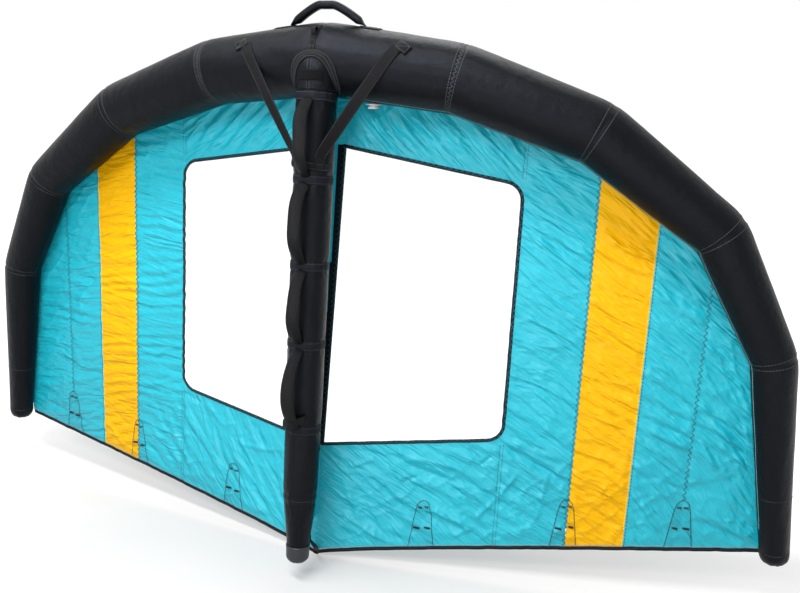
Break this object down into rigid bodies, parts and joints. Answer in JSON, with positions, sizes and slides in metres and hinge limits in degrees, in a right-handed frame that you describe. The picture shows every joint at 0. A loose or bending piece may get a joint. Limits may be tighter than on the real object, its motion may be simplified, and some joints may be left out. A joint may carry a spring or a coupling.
{
  "type": "wingfoil wing",
  "caption": "Handheld inflatable wing: C-shaped black leading edge, centre strut with soft handles, teal canopy with yellow stripes and clear windows.",
  "frame": {"origin": "underside of the carry handle at its middle, where the wing hangs", "axes": "+X along the span to the viewer's right, +Y from the rider's side to the back of the canopy, +Z from the trailing edge to the leading edge"},
  "size_m": [3.0902, 0.5041, 1.8743],
  "materials": {
    "sleeve_cloth": "satin",
    "webbing": "matte",
    "teal_cloth": "satin",
    "yellow_cloth": "satin",
    "window_film": "gloss",
    "dark_trim": "matte",
    "moulded_black": "satin",
    "bladder_film": "gloss",
    "batten": "gloss",
    "valve_plastic": "satin"
  },
  "bodies": {
    "wing": {"air_hose": "moulded_black", "batten_inner_left": "batten", "batten_inner_right": "batten", "batten_middle_left": "batten", "batten_middle_right": "batten", "batten_outer_left": "batten", "batten_outer_right": "batten", "batten_pocket_inner_left": "teal_cloth", "batten_pocket_inner_right": "teal_cloth", "batten_pocket_middle_left": "teal_cloth", "batten_pocket_middle_right": "teal_cloth", "batten_pocket_outer_left": "teal_cloth", "batten_pocket_outer_right": "teal_cloth", "brace_left": "webbing", "brace_right": "webbing", "canopy_centre_strip": "dark_trim", "canopy_lower_left": "teal_cloth", "canopy_lower_right": "teal_cloth", "canopy_middle_left": "teal_cloth", "canopy_middle_right": "teal_cloth", "canopy_outer_left": "teal_cloth", "canopy_outer_right": "teal_cloth", "canopy_stripe_left": "yellow_cloth", "canopy_stripe_right": "yellow_cloth", "canopy_upper_left": "teal_cloth", "canopy_upper_right": "teal_cloth", "carry_tab_left": "webbing", "carry_tab_right": "webbing", "closure_patch": "webbing", "edge_bladder": "bladder_film", "edge_panel_1_left": "sleeve_cloth", "edge_panel_1_right": "sleeve_cloth", "edge_panel_2_left": "sleeve_cloth", "edge_panel_2_right": "sleeve_cloth", "edge_panel_3_left": "sleeve_cloth", "edge_panel_3_right": "sleeve_cloth", "edge_panel_4_left": "sleeve_cloth", "edge_panel_4_right": "sleeve_cloth", "edge_panel_5_left": "sleeve_cloth", "edge_panel_5_right": "sleeve_cloth", "strut_bladder": "bladder_film", "strut_dome": "sleeve_cloth", "strut_sleeve": "sleeve_cloth", "strut_web": "teal_cloth", "tail_cap": "moulded_black", "tail_tie": "webbing", "tip_cap_left": "sleeve_cloth", "tip_cap_right": "sleeve_cloth", "trailing_hem": "dark_trim", "valve_body": "valve_plastic", "window_left": "window_film", "window_right": "window_film", "window_tape_left": "dark_trim", "window_tape_right": "dark_trim"},
    "carry_handle": {"carry_handle": "webbing"},
    "strut_handle_1": {"strut_handle_1": "webbing"},
    "strut_handle_2": {"strut_handle_2": "webbing"},
    "strut_handle_3": {"strut_handle_3": "webbing"},
    "strut_handle_4": {"strut_handle_4": "webbing"},
    "valve_cap": {"valve_cap": "valve_plastic"}
  },
  "joints": [
    {"name": "carry_handle_swing", "type": "hinge", "parent": "wing", "child": "carry_handle", "pos_m": [0, 0.01091, -0.03953], "axis": [1, 0, 0], "range_deg": [-50, 50], "stiffness_Nm_per_rad": 0.6},
    {"name": "strut_handle_1_swing", "type": "hinge", "parent": "wing", "child": "strut_handle_1", "pos_m": [0, -0.14858, -0.25522], "axis": [0, -0.0926, -0.9957], "range_deg": [-30, 30], "stiffness_Nm_per_rad": 0.15},
    {"name": "strut_handle_2_swing", "type": "hinge", "parent": "wing", "child": "strut_handle_2", "pos_m": [0, -0.17177, -0.50462], "axis": [0, -0.0921, -0.9957], "range_deg": [-30, 30], "stiffness_Nm_per_rad": 0.15},
    {"name": "strut_handle_3_swing", "type": "hinge", "parent": "wing", "child": "strut_handle_3", "pos_m": [0, -0.19652, -0.77228], "axis": [0, -0.091, -0.9958], "range_deg": [-30, 30], "stiffness_Nm_per_rad": 0.15},
    {"name": "strut_handle_4_swing", "type": "hinge", "parent": "wing", "child": "strut_handle_4", "pos_m": [0, -0.21961, -1.02477], "axis": [0, -0.0909, -0.9959], "range_deg": [-30, 30], "stiffness_Nm_per_rad": 0.15},
    {"name": "valve_cap_hinge", "type": "hinge", "parent": "wing", "child": "valve_cap", "pos_m": [0.15239, 0.04, -0.2824], "axis": [1, 0, 0], "range_deg": [0, 110]}
  ]
}
